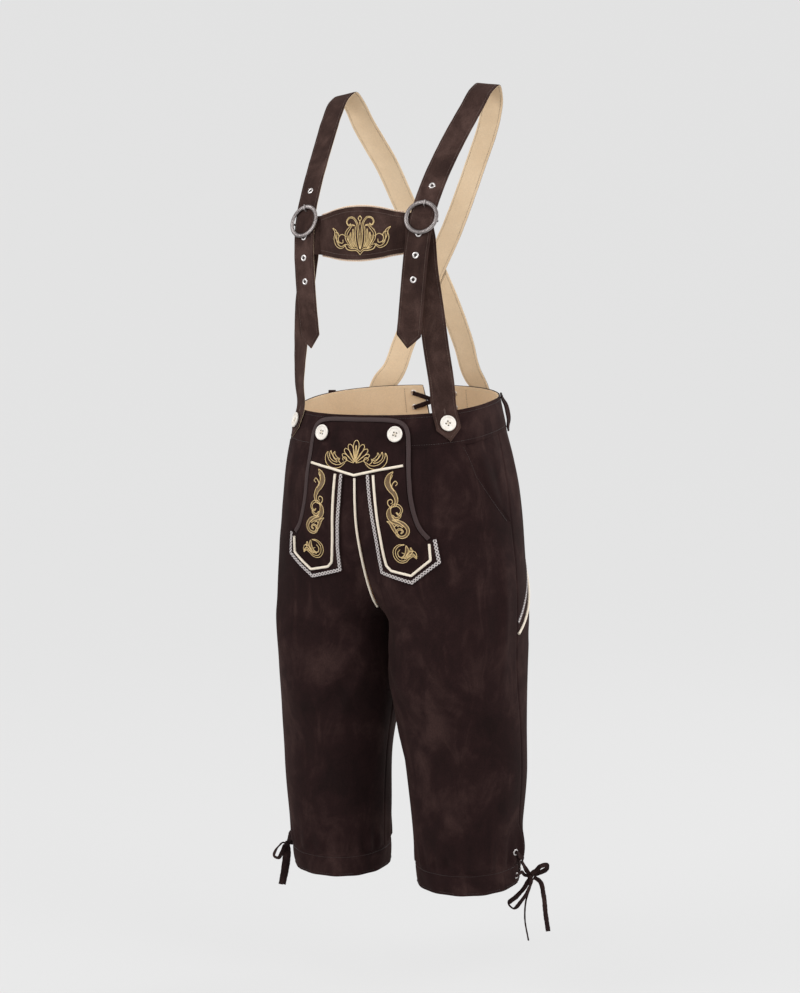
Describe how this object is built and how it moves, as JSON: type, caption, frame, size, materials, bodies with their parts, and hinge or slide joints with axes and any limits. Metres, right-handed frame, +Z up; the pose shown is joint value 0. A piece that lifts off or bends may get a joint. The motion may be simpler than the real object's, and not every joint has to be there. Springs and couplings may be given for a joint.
{
  "type": "lederhosen",
  "caption": "Knee-length suede trousers with a buttoned fall front, embroidered tabs, crossed braces on ring buckles, a chest panel and laced cuffs.",
  "frame": {"origin": "centre of the waistband's top edge, where the garment hangs on the wearer's waist", "axes": "+X toward the wearer's left, -Y the front, +Z up"},
  "size_m": [0.4759, 0.2883, 1.3356],
  "materials": {
    "suede": "dark brown suede, brushed nap, deeply matt",
    "strap_leather": "dark brown suede, a little lighter, flesh side beige",
    "binding_leather": "smooth mauve-brown leather, low sheen",
    "lining": "beige lining leather, matt",
    "piping": "cream piping leather, satin",
    "braid": "grey and white lattice braid, matt",
    "button": "off-white, satin",
    "antique_silver": "antique silver, engraved and worn bright on the edges",
    "lace": "dark brown suede lace, matt",
    "embroidery": "golden embroidery thread, soft sheen"
  },
  "bodies": {
    "root": {"front_panel_left": "suede", "front_panel_right": "suede", "back_panel_left": "suede", "back_panel_right": "suede", "pocket_facing_left": "suede", "pocket_facing_right": "suede", "cuff_left": "suede", "cuff_right": "suede", "belt_loop_left": "suede", "belt_loop_right": "suede", "waistband": "suede", "front_flap": "suede", "flap_binding": "binding_leather", "strap_left": "strap_leather", "strap_right": "strap_leather", "lower_strap_left": "strap_leather", "lower_strap_right": "strap_leather", "chest_panel": "strap_leather", "waist_facing": "lining", "chest_lining": "lining", "flap_piping": "piping", "centre_piping": "piping", "tab_piping_left": "piping", "tab_piping_right": "piping", "seat_piping_left": "piping", "seat_piping_right": "piping", "tab_braid_left": "braid", "tab_braid_right": "braid", "seat_braid_left": "braid", "seat_braid_right": "braid", "flap_button_left": "button", "flap_button_right": "button", "front_strap_button_left": "button", "front_strap_button_right": "button", "back_strap_button_left": "button", "back_strap_button_right": "button", "buckle_left": "antique_silver", "buckle_right": "antique_silver", "prong_left": "antique_silver", "prong_right": "antique_silver", "cuff_lacing_upper_left": "lace", "cuff_lacing_upper_right": "lace", "cuff_lacing_lower_left": "lace", "cuff_lacing_lower_right": "lace", "cuff_knot_left": "lace", "cuff_knot_right": "lace", "cuff_loop_upper_left": "lace", "cuff_loop_upper_right": "lace", "cuff_loop_lower_left": "lace", "cuff_loop_lower_right": "lace", "cuff_tail_wide_left": "lace", "cuff_tail_wide_right": "lace", "cuff_tail_thin_left": "lace", "cuff_tail_thin_right": "lace", "waist_lace_one": "lace", "waist_lace_two": "lace"}
  },
  "joints": []
}
